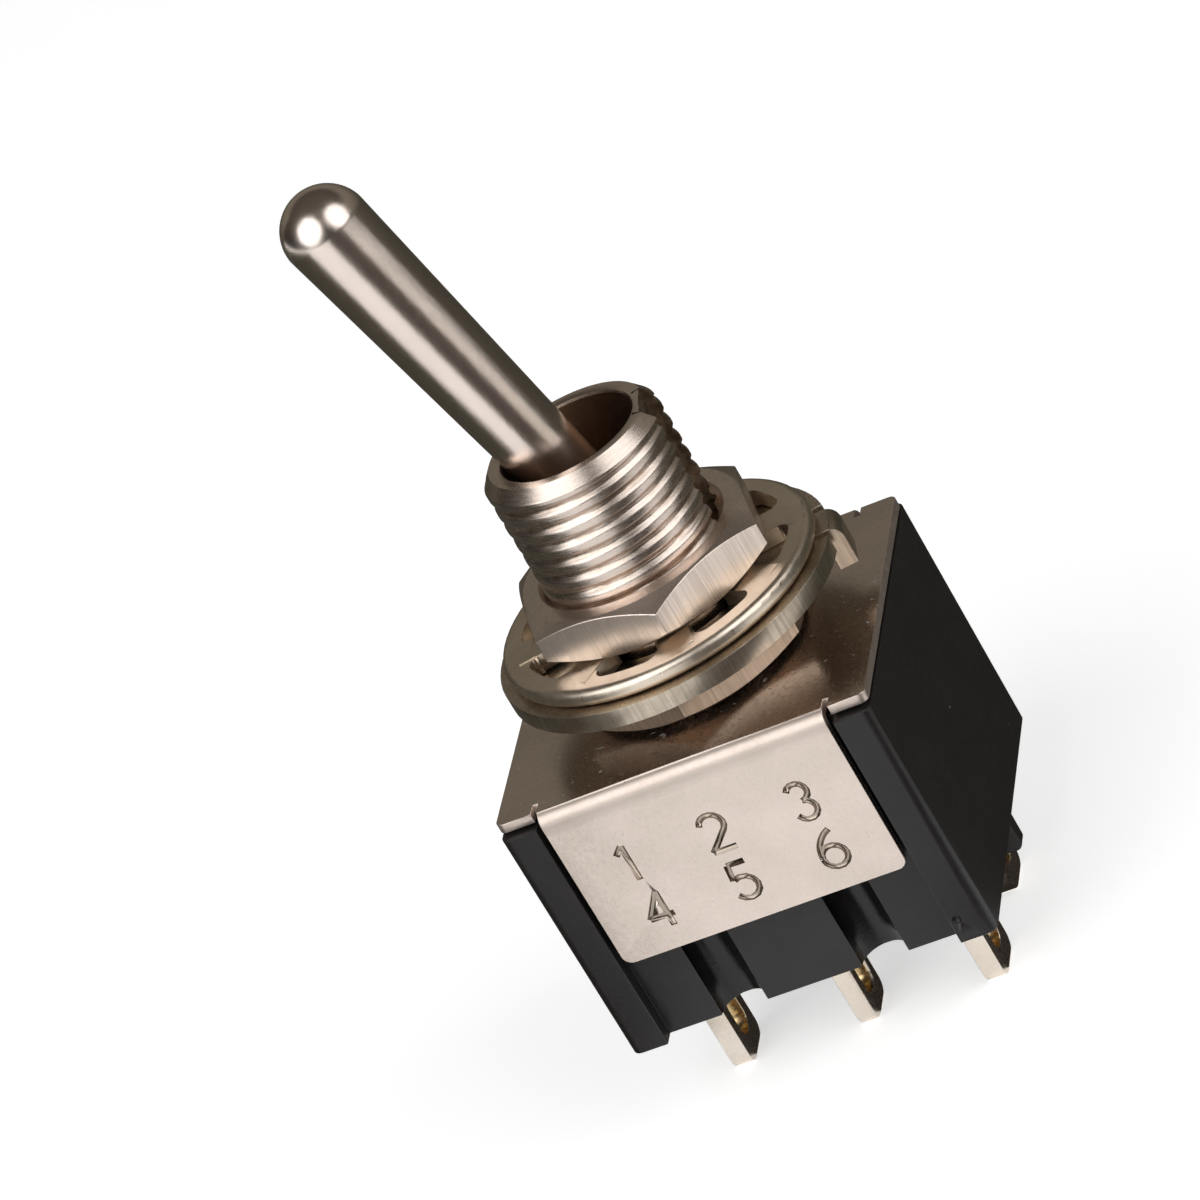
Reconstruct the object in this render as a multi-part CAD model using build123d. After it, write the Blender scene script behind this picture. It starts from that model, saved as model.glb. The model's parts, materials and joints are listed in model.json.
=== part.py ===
from build123d import *
import math
import os

# Miniature two-pole changeover toggle switch with a threaded bushing, its mounting hardware
# and six solder lugs. The origin is on the bushing axis, in the plane of the lug tips.
# +X is the way the lever swings, +Y goes to the rear pole, +Z goes up the bushing.
# The lever rests leaning to -X, so its plungers hold both rockers down on the +X side.
# All lengths are in millimetres and all angles in degrees.

# Moulded case
case_length = 13.2
case_width = 12.4
case_depth = 9.65
case_corner_radius = 0.35
post_length = 1.3
panel_recess = 0.6
groove_offset = 2.55
groove_width = 1.66
groove_depth = 0.9
end_wall = 0.9
groove_wall = 0.7
floor_thickness = 2.05
divider_thickness = 0.8
barrier_thickness = 0.6
barrier_height = 1.05
barrier_corner_radius = 0.25

# Frame plate with a folded flap on each long side
sheet_thickness = 0.35
flap_gap = 0.2
flap_height = 6.3
flap_corner_radius = 0.35
bend_radius = 0.5
plate_setback = 0.3
plate_corner_radius = 0.3
relief_depth = 0.5
post_gap = 0.12

# Bushing
thread_radius = 3.175
thread_pitch = 0.635
thread_depth = 0.34
thread_crest = 0.08
thread_flank_angle = 30.0
core_radius = 2.97
bushing_height = 9.2
bushing_chamfer = 0.385
bushing_chamfer_height = 0.45
mouth_radius = 2.35
throat_radius = 1.75
tail_bore_radius = 2.55
flange_radius = 3.9
flange_thickness = 0.5
keyway_width = 1.3
keyway_floor = 2.6
key_angle = 12.0

# Hardware on the bushing
nut_across_flats = 8.0
nut_thickness = 1.6
nut_face_radius = 3.9
nut_chamfer_angle = 30.0
nut_countersink = 0.37
lower_nut_gap = 0.22
lower_nut_turn = 36.0
upper_nut_turn = 47.8
locating_outer_radius = 5.95
washer_bore_radius = 3.25
locating_thickness = 0.65
tab_width = 1.5
tab_stand = 0.3
tab_drop = 1.5
tab_bend_radius = 0.5
tab_relief_width = 0.35
tab_relief_depth = 0.75
key_width = 1.2
lock_outer_radius = 5.6
lock_ring_radius = 4.85
lock_thickness = 0.62
lock_rim_radius = 0.26
tooth_count = 8
tooth_width = 1.2
tooth_root_width = 1.3
tooth_root_radius = 0.4
tooth_tip_radius = 3.3
tooth_twist = 3.75
tooth_turn = 17.5

# Lever, turned about its own axis, with the pivot at the centre of its ball
pivot_height = 5.2
lever_lean = 14.0
lever_length = 15.45
lever_tip_radius = 1.5
lever_dome_height = 1.42
lever_shoulder_radius = 0.9
lever_neck_radius = 1.2
ball_radius = 2.0
ball_clearance = 0.05
tail_radius = 0.7
tail_length = 7.7

# Actuator bar and the two sprung plungers, measured down from the pivot
bar_top = 6.65
bar_bottom = 8.35
bar_width = 1.9
bar_end_wall = 0.25
bar_roof = 0.3
plunger_radius = 0.65
plunger_top = 7.4
plunger_reach = 9.0
plunger_wall = 0.2
plunger_floor = 0.1
running_clearance = 0.05
spring_radius = 0.34
spring_wire = 0.18
spring_turns = 5.0

# Contact rockers and terminals
pole_spacing = 4.8
rocker_tilt = 8.0
rocker_width = 2.0
rocker_half_length = 4.9
rocker_sheet = 0.4
rocker_wing_height = 0.85
rocker_crest_offset = 2.5
rocker_wing_start = 3.3
rocker_bend_radius = 0.3
saddle_half_width = 0.75
saddle_roof = 0.25
saddle_skirt = 0.05
tip_gap = 0.04
tip_end_gap = 0.09
contact_gap = 0.05
contact_reach = 4.1
contact_radius = 0.8
contact_dome_radius = 1.6
contact_rim = 0.25
rivet_radius = 0.35
terminal_pitch = 4.65
terminal_thickness = 0.7
terminal_width = 2.0
terminal_bend_radius = 0.15
terminal_tab_reach = 2.0
lug_length = 3.65
lug_tip_radius = 0.5
lug_hole_width = 1.0
lug_hole_length = 1.75
lug_hole_margin = 0.75
slot_clearance = 0.03
seal_depth = 0.6
seal_end_wall = 0.8
seal_side_wall = 0.4
seal_inner = 0.5
seat_clearance = 0.02

# Levels and places that follow from the sizes above
case_bottom = lug_length
plate_top = case_bottom + case_depth
case_top = plate_top - sheet_thickness - post_gap
floor_top = case_bottom + floor_thickness
panel_y = case_width / 2 - panel_recess
half_flap = case_length / 2 - post_length - flap_gap
cavity_x = case_length / 2 - end_wall
cavity_y = panel_y - groove_depth - groove_wall
seal_x = case_length / 2 - seal_end_wall
seal_outer = panel_y - groove_depth - seal_side_wall
pivot_z = plate_top + pivot_height
fulcrum_radius = terminal_thickness / 2
saddle_radius = fulcrum_radius + running_clearance
rocker_top = saddle_radius + saddle_roof
tip_height = rocker_top + plunger_radius + tip_gap
fulcrum_z = pivot_z - plunger_reach - tip_height
pole_y = pole_spacing / 2
poles = {"front": -pole_y, "rear": pole_y}
sides = {"left": -1, "right": 1}
tooth_half_height = (lock_thickness * math.cos(math.radians(tooth_twist))
                     + tooth_width * math.sin(math.radians(tooth_twist))) / 2
lower_nut_z = plate_top + lower_nut_gap
locating_z = lower_nut_z + nut_thickness
lock_middle_z = locating_z + locating_thickness + tooth_half_height
upper_nut_z = lock_middle_z + tooth_half_height
free_thread_z = upper_nut_z + nut_thickness
bushing_top = plate_top + bushing_height

# A part made in the lever's own frame goes to the pivot and leans with the lever
lever_place = Pos(0, 0, pivot_z) * Rot(0, -lever_lean, 0)


def block(x_range, y_range, z_range):
    """Box between two values on each axis."""
    ranges = (x_range, y_range, z_range)
    middle = [(low + high) / 2 for low, high in ranges]
    return Pos(*middle) * Box(*[high - low for low, high in ranges])


def turned(points):
    """Solid turned about Z from a closed outline of (radius, height) points."""
    return revolve(make_face(Plane.XZ * Polyline(*points, close=True)), Axis.Z)


def lug_slots(clearance, z_range):
    """Rectangular passages for the six terminals."""
    half_x = terminal_thickness / 2 + clearance
    half_y = terminal_width / 2 + clearance
    slots = Part()
    for x in (-terminal_pitch, 0, terminal_pitch):
        for y in poles.values():
            slots += block((x - half_x, x + half_x), (y - half_y, y + half_y), z_range)
    return slots


def make_case():
    """Open-topped moulding with corner posts, grooved long sides and a barrier rib below."""
    groove_radius = groove_width / 2
    groove_centre = panel_y - groove_depth + groove_radius
    section = RectangleRounded(case_length, case_width, case_corner_radius)
    for side in (-1, 1):
        section -= Pos(0, side * case_width / 2) * Rectangle(
            case_length - 2 * post_length, 2 * panel_recess)
        for x in (-groove_offset, groove_offset):
            section -= Pos(x, side * groove_centre) * Circle(groove_radius)
            section -= Pos(x, side * case_width / 2) * Rectangle(
                groove_width, case_width - 2 * groove_centre)
    case = Pos(0, 0, case_bottom) * extrude(section, case_top - case_bottom)
    case -= block((-cavity_x, cavity_x), (-cavity_y, cavity_y), (floor_top, case_top))
    bar_corner = math.hypot(bar_bottom, bar_width / 2)
    divider_top = pivot_z - bar_corner - 2 * post_gap
    half_divider = divider_thickness / 2
    case += block((-cavity_x, cavity_x), (-half_divider, half_divider), (floor_top, divider_top))
    for side in (-1, 1):
        y_range = sorted((side * seal_inner, side * seal_outer))
        case -= block((-seal_x, seal_x), y_range, (case_bottom, case_bottom + seal_depth))
    case -= lug_slots(slot_clearance, (case_bottom, floor_top))
    barrier = block((-case_length / 2, case_length / 2),
                    (-barrier_thickness / 2, barrier_thickness / 2),
                    (case_bottom - barrier_height, case_bottom + seal_depth))
    low_ends = barrier.edges().filter_by(Axis.Y).group_by(Axis.Z)[0]
    return case + fillet(low_ends, barrier_corner_radius)


def make_seal(y):
    """Potting resin that fills the pocket round three terminals."""
    inner = seal_inner + seat_clearance
    outer = seal_outer - seat_clearance
    half_length = seal_x - seat_clearance
    y_range = sorted((math.copysign(inner, y), math.copysign(outer, y)))
    z_range = (case_bottom, case_bottom + seal_depth - seat_clearance)
    return block((-half_length, half_length), y_range, z_range) - lug_slots(seat_clearance, z_range)


def make_frame_plate():
    """Plated sheet over the case, with its two long sides folded down as flaps."""
    half_width = case_width / 2
    flap_bottom = plate_top - flap_height
    skin = block((-half_flap, half_flap), (-half_width, half_width), (flap_bottom, plate_top))
    skin = fillet(skin.edges().filter_by(Axis.X).group_by(Axis.Z)[-1], bend_radius)
    inner_y = half_width - sheet_thickness
    hollow = block((-half_flap, half_flap), (-inner_y, inner_y),
                   (flap_bottom, plate_top - sheet_thickness))
    hollow = fillet(hollow.edges().filter_by(Axis.X).group_by(Axis.Z)[-1],
                    bend_radius - sheet_thickness)
    folded = skin - hollow
    low_corners = folded.edges().filter_by(Axis.Y).group_by(Axis.Z)[0]
    folded = fillet(low_corners, flap_corner_radius)
    plate = RectangleRounded(case_length, case_width - 2 * plate_setback, plate_corner_radius)
    for x in (-1, 1):
        for y in (-1, 1):
            plate -= Pos(x * (half_flap + flap_gap / 2), y * half_width) * Rectangle(
                flap_gap, 2 * (plate_setback + relief_depth))
    sheet = Pos(0, 0, plate_top) * extrude(plate, -sheet_thickness)
    hole = Pos(0, 0, plate_top) * Cylinder(core_radius + slot_clearance, 3 * sheet_thickness)
    return sheet + folded - hole


def thread_outline():
    """Outer edge of the free thread as ring grooves at its pitch, in (radius, height) points."""
    root = thread_radius - thread_depth
    flank = thread_depth * math.tan(math.radians(thread_flank_angle))
    wall_top = bushing_top - bushing_chamfer_height
    grooves = math.floor((wall_top - free_thread_z - thread_crest) / thread_pitch)
    points = [(thread_radius, free_thread_z)]
    for index in range(grooves):
        low = free_thread_z + thread_crest + index * thread_pitch
        high = low + thread_pitch - thread_crest
        points += [(thread_radius, low), (root, low + flank), (root, high - flank),
                   (thread_radius, high)]
    return points + [(thread_radius, wall_top)]


def make_bushing():
    """Turned bushing: flange under the plate, ball seat, thread, flared mouth and a keyway."""
    seat_radius = ball_radius + ball_clearance
    seat_top = pivot_z + math.sqrt(seat_radius ** 2 - throat_radius ** 2)
    flange_top = plate_top - sheet_thickness
    flange_bottom = flange_top - flange_thickness
    body = turned([
        (0, flange_bottom), (flange_radius, flange_bottom), (flange_radius, flange_top),
        (core_radius, flange_top), (core_radius, free_thread_z), *thread_outline(),
        (thread_radius - bushing_chamfer, bushing_top), (0, bushing_top)])
    body -= turned([(0, seat_top), (throat_radius, seat_top), (mouth_radius, bushing_top),
                    (0, bushing_top)])
    body -= turned([(0, flange_bottom), (tail_bore_radius, flange_bottom),
                    (seat_radius, pivot_z), (0, pivot_z)])
    body -= Pos(0, 0, pivot_z) * Sphere(seat_radius)
    keyway = block((keyway_floor, thread_radius + 1), (-keyway_width / 2, keyway_width / 2),
                   (plate_top, bushing_top))
    return body - Rot(0, 0, key_angle) * keyway


def make_nut(bottom, turn):
    """Hexagon nut, chamfered on both faces and countersunk at both ends of its bore."""
    corner_radius = nut_across_flats / math.sqrt(3)
    fall = (corner_radius - nut_face_radius) * math.tan(math.radians(nut_chamfer_angle))
    bore = core_radius + seat_clearance / 2
    mouth = bore + nut_countersink
    blank = extrude(RegularPolygon(corner_radius, 6, rotation=turn), nut_thickness)
    blank &= turned([(0, 0), (nut_face_radius, 0), (corner_radius, fall),
                     (corner_radius, nut_thickness - fall), (nut_face_radius, nut_thickness),
                     (0, nut_thickness)])
    blank -= turned([(0, 0), (mouth, 0), (bore, nut_countersink),
                     (bore, nut_thickness - nut_countersink), (mouth, nut_thickness),
                     (0, nut_thickness)])
    return Pos(0, 0, bottom) * blank


def make_locating_washer():
    """Flat washer with a key into the bushing and a tab folded down at its rim."""
    half_tab = tab_width / 2
    tab_root = locating_outer_radius - tab_relief_depth
    tab_reach = locating_outer_radius + tab_stand
    ring = Circle(locating_outer_radius) - Circle(washer_bore_radius)
    for side in (-1, 1):
        ring -= Pos(locating_outer_radius, side * (half_tab + tab_relief_width / 2)) * Rectangle(
            2 * tab_relief_depth, tab_relief_width)
    key_tip = keyway_floor + running_clearance
    ring += Pos((key_tip + washer_bore_radius) / 2, 0) * Rectangle(
        washer_bore_radius - key_tip + running_clearance, key_width)
    washer = extrude(ring, locating_thickness)
    tab = block((tab_root, tab_reach), (-half_tab, half_tab),
                (locating_thickness - tab_drop, locating_thickness))
    tab = fillet(tab.edges().filter_by(Axis.Y).group_by(Axis.Z)[-1].sort_by(Axis.X)[-1],
                 tab_bend_radius)
    under = block((tab_root, tab_reach - locating_thickness), (-half_tab, half_tab),
                  (locating_thickness - tab_drop, 0))
    return Pos(0, 0, locating_z) * Rot(0, 0, key_angle) * (washer + tab - under)


def make_lock_washer():
    """Spring lock washer with twisted internal teeth that bear on the nut and the washer."""
    turns = [Rot(0, 0, tooth_turn + index * 360 / tooth_count) for index in range(tooth_count)]
    openings = Circle(lock_ring_radius)
    for turn in turns:
        openings -= turn * Pos(lock_ring_radius / 2, 0) * Rectangle(
            lock_ring_radius + tooth_root_width, tooth_root_width)
    corners = [corner for corner in openings.vertices()
               if math.hypot(corner.X, corner.Y) > lock_ring_radius - tooth_root_radius / 2]
    openings = fillet(corners, tooth_root_radius)
    root_radius = lock_ring_radius - tooth_root_radius
    disc = extrude(Circle(lock_outer_radius) - Circle(root_radius), lock_thickness / 2, both=True)
    rim = disc.edges().filter_by(GeomType.CIRCLE).sort_by(SortBy.RADIUS)[-2:]
    washer = fillet(rim, lock_rim_radius) - extrude(openings, lock_thickness, both=True)
    tooth = block((tooth_tip_radius, (root_radius + lock_outer_radius) / 2),
                  (-tooth_width / 2, tooth_width / 2),
                  (-lock_thickness / 2, lock_thickness / 2))
    tooth = Rot(tooth_twist, 0, 0) * tooth
    tooth -= Cylinder(tooth_tip_radius, 2 * lock_thickness)
    for turn in turns:
        washer += turn * tooth
    return Pos(0, 0, lock_middle_z) * washer


def make_lever():
    """Tapered domed lever, ball and tail in one turned piece."""
    dome_base = lever_length - lever_dome_height
    shoulder_x = lever_tip_radius - lever_shoulder_radius
    cap_radius = (shoulder_x ** 2 + lever_dome_height ** 2 - lever_shoulder_radius ** 2) / (
        2 * (lever_dome_height - lever_shoulder_radius))
    cap_z = lever_length - cap_radius
    turn = math.atan2(dome_base - cap_z, shoulder_x)
    shoulder_end = (cap_radius * math.cos(turn), cap_z + cap_radius * math.sin(turn))
    neck_z = math.sqrt(ball_radius ** 2 - lever_neck_radius ** 2)
    tail_z = -math.sqrt(ball_radius ** 2 - tail_radius ** 2)
    outline = Curve() + [
        Line((0, lever_length), (0, -tail_length)),
        Line((0, -tail_length), (tail_radius, -tail_length)),
        Line((tail_radius, -tail_length), (tail_radius, tail_z)),
        ThreePointArc((tail_radius, tail_z), (ball_radius, 0), (lever_neck_radius, neck_z)),
        Line((lever_neck_radius, neck_z), (lever_tip_radius, dome_base)),
        TangentArc((lever_tip_radius, dome_base), shoulder_end, tangent=(0, 1)),
        TangentArc(shoulder_end, (0, lever_length), tangent=(-math.sin(turn), math.cos(turn))),
    ]
    return lever_place * revolve(make_face(Plane.XZ * outline), Axis.Z)


def make_actuator():
    """Insulating bar across both poles, with a socket for the lever's tail."""
    half_length = pole_y + plunger_radius + running_clearance + bar_end_wall
    bar = block((-bar_width / 2, bar_width / 2), (-half_length, half_length),
                (-bar_bottom, -bar_top))
    bar = fillet(bar.edges().filter_by(Axis.Z), bar_width / 2 - 0.3)
    socket_depth = tail_length + running_clearance - bar_top
    bar -= Pos(0, 0, -bar_top - socket_depth / 2) * Cylinder(
        tail_radius + seat_clearance, socket_depth)
    bore_length = bar_bottom - bar_top - bar_roof
    for y in poles.values():
        bar -= Pos(0, y, -bar_bottom + bore_length / 2) * Cylinder(
            plunger_radius + running_clearance, bore_length)
    return lever_place * bar


def make_plunger(y):
    """Cup with a rounded nose that rides on its rocker."""
    bore_radius = plunger_radius - plunger_wall
    bore_floor = plunger_reach - plunger_floor
    body = Pos(0, 0, -(plunger_top + plunger_reach) / 2) * Cylinder(
        plunger_radius, plunger_reach - plunger_top)
    body += Pos(0, 0, -plunger_reach) * Sphere(plunger_radius)
    body -= Pos(0, 0, -(plunger_top + bore_floor) / 2) * Cylinder(
        bore_radius, bore_floor - plunger_top)
    return lever_place * Pos(0, y, 0) * body


def make_spring(y):
    """Helical spring between the bar's bore and the plunger's floor."""
    margin = spring_wire / 2 + seat_clearance
    top = -(bar_top + bar_roof) - margin
    bottom = -(plunger_reach - plunger_floor) + margin
    coil = Helix((top - bottom) / spring_turns, top - bottom, spring_radius)
    wire = sweep(Plane(coil @ 0, z_dir=coil % 0) * Circle(spring_wire / 2), coil, is_frenet=True)
    return lever_place * Pos(0, y, bottom) * wire


def rocker_frame(lever_angle, rocker_angle):
    """Centre of a plunger's nose in its rocker's frame, as (along, up) from the fulcrum."""
    lever = math.radians(lever_angle)
    tilt = math.radians(rocker_angle)
    along = plunger_reach * math.sin(lever)
    up = plunger_reach * (1 - math.cos(lever)) + tip_height
    return (along * math.cos(tilt) - up * math.sin(tilt),
            along * math.sin(tilt) + up * math.cos(tilt))


def dish_radius():
    """Radius of the rocker's dish that leaves the end gap when the lever is fully over."""
    along, up = rocker_frame(lever_lean, rocker_tilt)
    below = rocker_top - up
    nose = plunger_radius + tip_end_gap
    return (nose ** 2 - along ** 2 - below ** 2) / (2 * (below + nose))


def make_rocker(y):
    """Formed contact strip: a dish for the plunger, two wings and a saddle on the fulcrum."""
    radius = dish_radius()
    crest = rocker_top + radius - math.sqrt(radius ** 2 - rocker_crest_offset ** 2)
    far = rocker_half_length + 2 * rocker_sheet
    depth = rocker_half_length
    outline = Curve() + [
        Polyline((-rocker_crest_offset, crest), (-rocker_wing_start, rocker_wing_height),
                 (-far, rocker_wing_height), (-far, -depth), (far, -depth),
                 (far, rocker_wing_height), (rocker_wing_start, rocker_wing_height),
                 (rocker_crest_offset, crest)),
        ThreePointArc((-rocker_crest_offset, crest), (0, rocker_top),
                      (rocker_crest_offset, crest)),
    ]
    under = make_face(outline)
    bends = under.vertices().filter_by(lambda v: abs(v.X) < rocker_half_length)
    under = fillet(bends, rocker_bend_radius)
    strip = under - offset(under, -rocker_sheet)
    strip &= Pos(0, depth / 2) * Rectangle(2 * rocker_half_length, 2 * depth)
    strip += Pos(0, (rocker_top - saddle_roof - saddle_skirt) / 2) * Rectangle(
        2 * saddle_half_width, rocker_top - saddle_roof + saddle_skirt)
    strip -= Circle(saddle_radius)
    strip -= Pos(0, -saddle_radius / 2) * Rectangle(2 * saddle_radius, saddle_radius)
    strip = extrude(Plane.XZ * strip, rocker_width / 2, both=True)
    return Pos(0, y, fulcrum_z) * Rot(0, rocker_tilt, 0) * strip


def lug_outline(top):
    """Face of a terminal blade seen along X, from its rounded tip up to a level."""
    blade = Pos(0, top / 2) * Rectangle(terminal_width, top)
    tips = blade.vertices().group_by(Axis.Y)[0]
    blade = fillet(tips, lug_tip_radius)
    hole = Pos(0, lug_hole_margin + lug_hole_length / 2) * SlotOverall(
        lug_hole_length, lug_hole_width, rotation=90)
    return blade - hole


def make_common_terminal(y):
    """Centre lug whose rounded upper edge is the rocker's fulcrum."""
    blade = extrude(Plane.YZ * lug_outline(fulcrum_z), terminal_thickness / 2, both=True)
    edge = Rot(90, 0, 0) * Cylinder(fulcrum_radius, terminal_width)
    return Pos(0, y, 0) * (blade + Pos(0, 0, fulcrum_z) * edge)


def contact_place():
    """Centre of a fixed contact's dome in the row frame, for the closed side."""
    tilt = math.radians(rocker_tilt)
    down = rocker_wing_height - rocker_sheet - contact_gap - contact_dome_radius
    along = contact_reach * math.cos(tilt) + down * math.sin(tilt)
    return along, fulcrum_z - contact_reach * math.sin(tilt) + down * math.cos(tilt)


def contact_levels():
    """Levels of a fixed contact's dome edge and of the tab that it is riveted to."""
    dome_z = contact_place()[1]
    dome_edge = dome_z + math.sqrt(contact_dome_radius ** 2 - contact_radius ** 2)
    return dome_edge, dome_edge - contact_rim


def make_throw_terminal(y, side):
    """Outer lug, bent inwards at its top to carry a fixed contact."""
    tab_top = contact_levels()[1] - seat_clearance
    tab_bottom = tab_top - terminal_thickness
    outer = terminal_pitch + terminal_thickness / 2
    inner = terminal_pitch - terminal_thickness / 2
    tab_end = inner - terminal_tab_reach
    blade = extrude(Plane.YZ * lug_outline(tab_top), terminal_thickness / 2, both=True)
    blade = Pos(terminal_pitch, 0, 0) * blade
    tab = block((tab_end, outer), (-terminal_width / 2, terminal_width / 2),
                (tab_bottom, tab_top))
    terminal = blade + tab
    outer_edge = terminal.edges().filter_by(Axis.Y).sort_by(
        lambda e: (e.center() - Vector(outer, 0, tab_top)).length)[0]
    terminal = fillet(outer_edge, terminal_thickness + terminal_bend_radius - 0.01)
    inner_edge = terminal.edges().filter_by(Axis.Y).sort_by(
        lambda e: (e.center() - Vector(inner, 0, tab_bottom)).length)[0]
    terminal = fillet(inner_edge, terminal_bend_radius)
    terminal -= Pos(contact_place()[0], 0, tab_top) * Cylinder(
        rivet_radius + seat_clearance, 3 * terminal_thickness)
    return Pos(0, y, 0) * Rot(0, 0, 0 if side > 0 else 180) * terminal


def make_fixed_contact(y, side):
    """Domed contact rivet on a throw terminal."""
    x, dome_z = contact_place()
    dome_edge, seat = contact_levels()
    head_height = contact_dome_radius - (dome_edge - dome_z) + contact_rim
    head = Pos(0, 0, seat + head_height / 2) * Cylinder(contact_radius, head_height)
    head &= Pos(0, 0, dome_z) * Sphere(contact_dome_radius)
    head += Pos(0, 0, seat - terminal_thickness / 2) * Cylinder(rivet_radius, terminal_thickness)
    return Pos(side * x, y, 0) * head


def make_nodes():
    """Every separate piece of the switch by name."""
    nodes = {
        "case": make_case(),
        "frame_plate": make_frame_plate(),
        "bushing": make_bushing(),
        "lower_nut": make_nut(lower_nut_z, lower_nut_turn),
        "locating_washer": make_locating_washer(),
        "lock_washer": make_lock_washer(),
        "upper_nut": make_nut(upper_nut_z, upper_nut_turn),
        "toggle_lever": make_lever(),
        "actuator_bar": make_actuator(),
    }
    for pole, y in poles.items():
        nodes[f"terminal_seal_{pole}"] = make_seal(y)
        nodes[f"plunger_{pole}"] = make_plunger(y)
        nodes[f"plunger_spring_{pole}"] = make_spring(y)
        nodes[f"contact_rocker_{pole}"] = make_rocker(y)
        nodes[f"common_terminal_{pole}"] = make_common_terminal(y)
        for name, side in sides.items():
            nodes[f"throw_terminal_{pole}_{name}"] = make_throw_terminal(y, side)
            nodes[f"fixed_contact_{pole}_{name}"] = make_fixed_contact(y, side)
    return nodes


os.makedirs("parts", exist_ok=True)
for node_name, shape in make_nodes().items():
    export_step(shape, f"parts/{node_name}.step")
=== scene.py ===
"""The looks of a miniature toggle switch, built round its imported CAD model.

Blender works in metres in the CAD frame. Sizes here are in millimetres and become metres where a mesh is
made. Places come from the frame: the nodes' boxes, the toggle's pivot and the mounts.
"""
import json
import math

import bmesh
import bpy
from mathutils import Matrix, Vector, noise

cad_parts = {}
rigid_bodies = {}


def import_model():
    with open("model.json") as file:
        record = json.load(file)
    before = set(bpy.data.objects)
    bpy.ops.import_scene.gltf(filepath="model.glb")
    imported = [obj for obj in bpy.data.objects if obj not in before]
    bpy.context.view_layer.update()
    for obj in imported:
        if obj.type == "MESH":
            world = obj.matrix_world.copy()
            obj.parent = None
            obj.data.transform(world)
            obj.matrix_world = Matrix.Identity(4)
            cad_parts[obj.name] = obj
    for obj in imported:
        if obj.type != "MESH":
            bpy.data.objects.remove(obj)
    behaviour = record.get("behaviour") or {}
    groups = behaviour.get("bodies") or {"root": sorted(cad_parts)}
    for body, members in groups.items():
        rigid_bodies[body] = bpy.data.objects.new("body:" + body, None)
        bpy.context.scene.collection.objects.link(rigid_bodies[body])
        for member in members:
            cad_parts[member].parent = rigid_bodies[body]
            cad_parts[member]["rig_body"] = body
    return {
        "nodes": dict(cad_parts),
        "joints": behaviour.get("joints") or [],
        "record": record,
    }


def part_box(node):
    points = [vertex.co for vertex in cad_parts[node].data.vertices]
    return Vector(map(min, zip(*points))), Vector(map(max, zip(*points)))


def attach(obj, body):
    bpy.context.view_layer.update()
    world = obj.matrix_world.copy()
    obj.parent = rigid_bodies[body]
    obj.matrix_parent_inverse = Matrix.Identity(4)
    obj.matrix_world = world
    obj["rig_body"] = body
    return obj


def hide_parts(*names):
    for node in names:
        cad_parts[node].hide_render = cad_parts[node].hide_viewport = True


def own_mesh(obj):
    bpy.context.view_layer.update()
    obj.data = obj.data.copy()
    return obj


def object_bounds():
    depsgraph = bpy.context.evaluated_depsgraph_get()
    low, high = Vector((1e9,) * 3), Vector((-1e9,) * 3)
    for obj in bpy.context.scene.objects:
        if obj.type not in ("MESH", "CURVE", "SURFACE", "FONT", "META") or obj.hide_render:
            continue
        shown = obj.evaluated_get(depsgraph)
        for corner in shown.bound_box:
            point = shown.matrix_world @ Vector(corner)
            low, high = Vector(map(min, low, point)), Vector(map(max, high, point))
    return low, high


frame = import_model()
cad_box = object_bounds()

MM = 0.001


def node_box(name):
    """Lowest and highest corner of a CAD node, in millimetres."""
    low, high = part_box(name)
    return low / MM, high / MM


def named(things, name):
    """The joint or mount with that name."""
    return next(thing for thing in things if thing["name"] == name)


# Levels and axes read from the frame, in millimetres
plate_low, plate_high = node_box("frame_plate")
bushing_low, bushing_high = node_box("bushing")
upper_nut_top = node_box("upper_nut")[1].z
washer_seam = node_box("lock_washer")[0].z
pivot = Vector(named(frame["joints"], "toggle_swing")["pos_m"]) / MM
mounts = frame["record"]["mounts"]
thread_radius = named(mounts, "bushing_thread")["dims"]["r_mm"]
lever_axis = Vector(named(mounts, "lever_tip")["axis"]).normalized()
lever_lean = Vector((0, 0, 1)).rotation_difference(lever_axis).to_matrix().to_4x4()


# ---------------------------------------------------------------- meshes

# Points this near become one, and faces that meet below the flat angle become one. An edge that turns by
# more than the edge angle is rounded and shaded as an edge. Angles are in degrees.
weld_distance = 0.001
flat_angle = 0.5
edge_angle = 35


class Shell:
    """Points and faces of a mesh, in millimetres."""

    def __init__(self):
        self.points = []
        self.faces = []

    def ring(self, points):
        """Adds a row of points and gives their numbers."""
        start = len(self.points)
        self.points.extend(points)
        return list(range(start, len(self.points)))

    def bridge(self, first, second):
        """Quads between two closed rows of the same length."""
        count = len(first)
        for i in range(count):
            j = (i + 1) % count
            self.faces.append((first[i], first[j], second[j], second[i]))

    def cap(self, row, middle=None):
        """Closes a row with one face, or with a fan round a middle point."""
        if middle is None:
            self.faces.append(tuple(row))
            return
        centre = self.ring([middle])[0]
        for i, point in enumerate(row):
            self.faces.append((point, row[(i + 1) % len(row)], centre))

    def rows(self, rings, loop=False):
        """Bridges a list of rows, and the last to the first where loop is true."""
        numbers = [self.ring(points) for points in rings]
        for first, second in zip(numbers, numbers[1:]):
            self.bridge(first, second)
        if loop:
            self.bridge(numbers[-1], numbers[0])
        return numbers

    def mesh(self, name, turn=None):
        """The shell as a mesh in metres, with its faces outwards."""
        matrix = turn or Matrix.Identity(4)
        mesh = bpy.data.meshes.new(name)
        mesh.from_pydata([(matrix @ Vector(p)) * MM for p in self.points], [], self.faces)
        work = bmesh.new()
        work.from_mesh(mesh)
        bmesh.ops.recalc_face_normals(work, faces=work.faces)
        work.to_mesh(mesh)
        work.free()
        return mesh


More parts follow.
